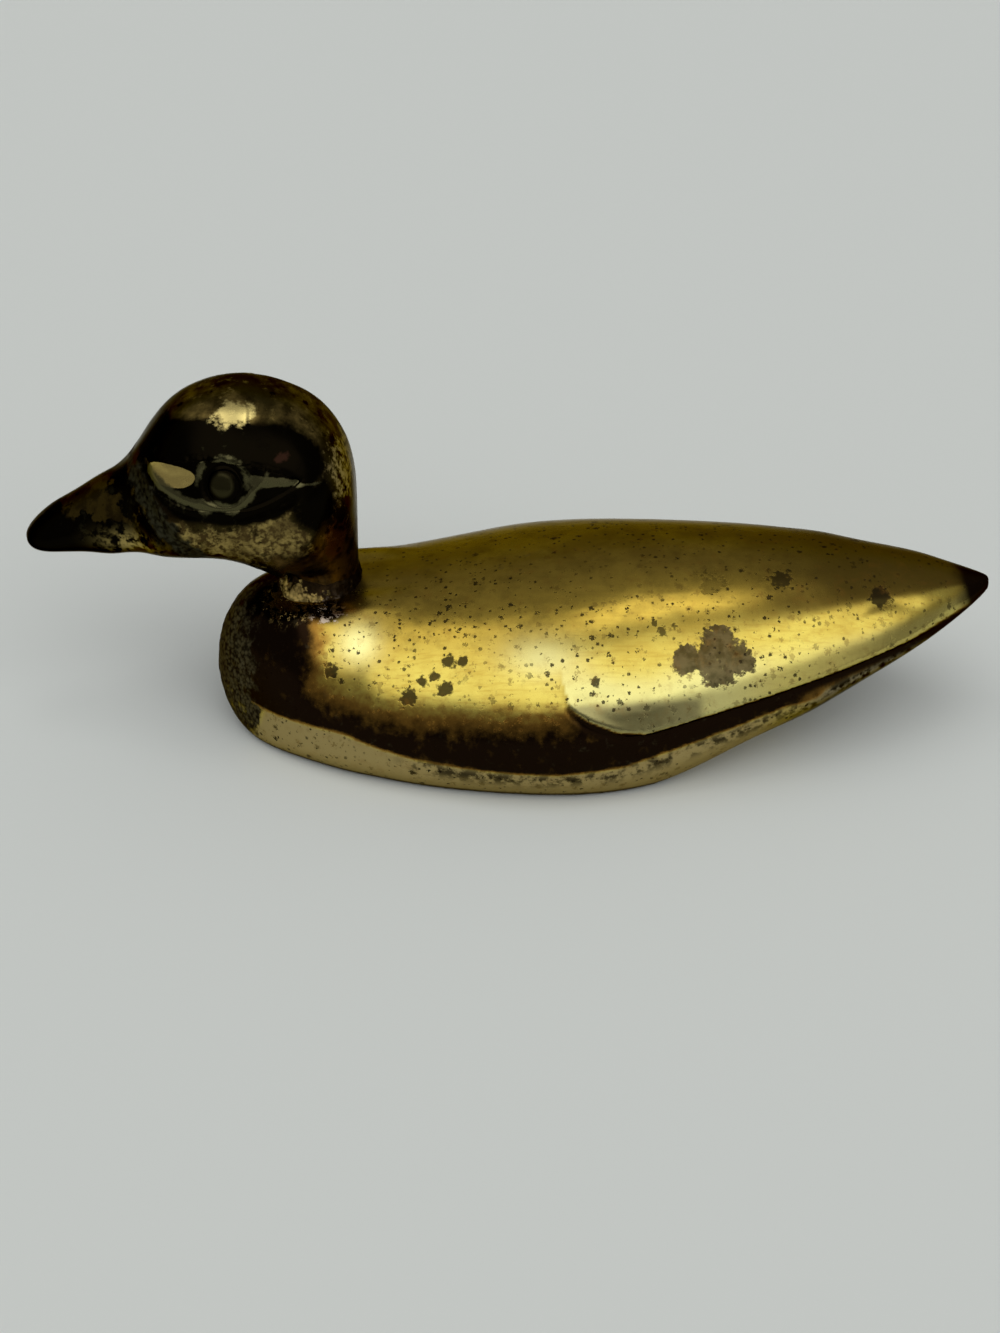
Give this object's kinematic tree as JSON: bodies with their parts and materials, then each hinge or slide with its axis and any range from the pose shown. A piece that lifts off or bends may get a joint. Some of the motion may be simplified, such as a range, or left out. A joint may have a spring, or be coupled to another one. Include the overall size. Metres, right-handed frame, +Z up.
{
  "type": "duck ornament",
  "caption": "Cast brass duck ornament with a round head, pointed bill, raised wings and an upswept tail; stands on a felt-covered flat underside as a paperweight or shelf piece.",
  "frame": {"origin": "centre of the bounding box at table level, under the middle of the duck", "axes": "+X from bill to tail, +Y to the duck's right, +Z up"},
  "size_m": [0.127, 0.0484, 0.0484],
  "materials": {
    "body_brass": "polished brass with spotted brown tarnish",
    "head_brass": "dark brown patina worn through to brass on the crown and cheeks",
    "braze_metal": "rough pitted braze",
    "plate_brass": "dull rolled sheet",
    "solder_metal": "dull grey soft solder",
    "felt": "dark green felt"
  },
  "bodies": {
    "root": {"body_casting": "body_brass", "head_casting": "head_brass", "neck_braze": "braze_metal", "base_plate": "plate_brass", "base_solder": "solder_metal", "felt_pad": "felt"}
  },
  "joints": []
}
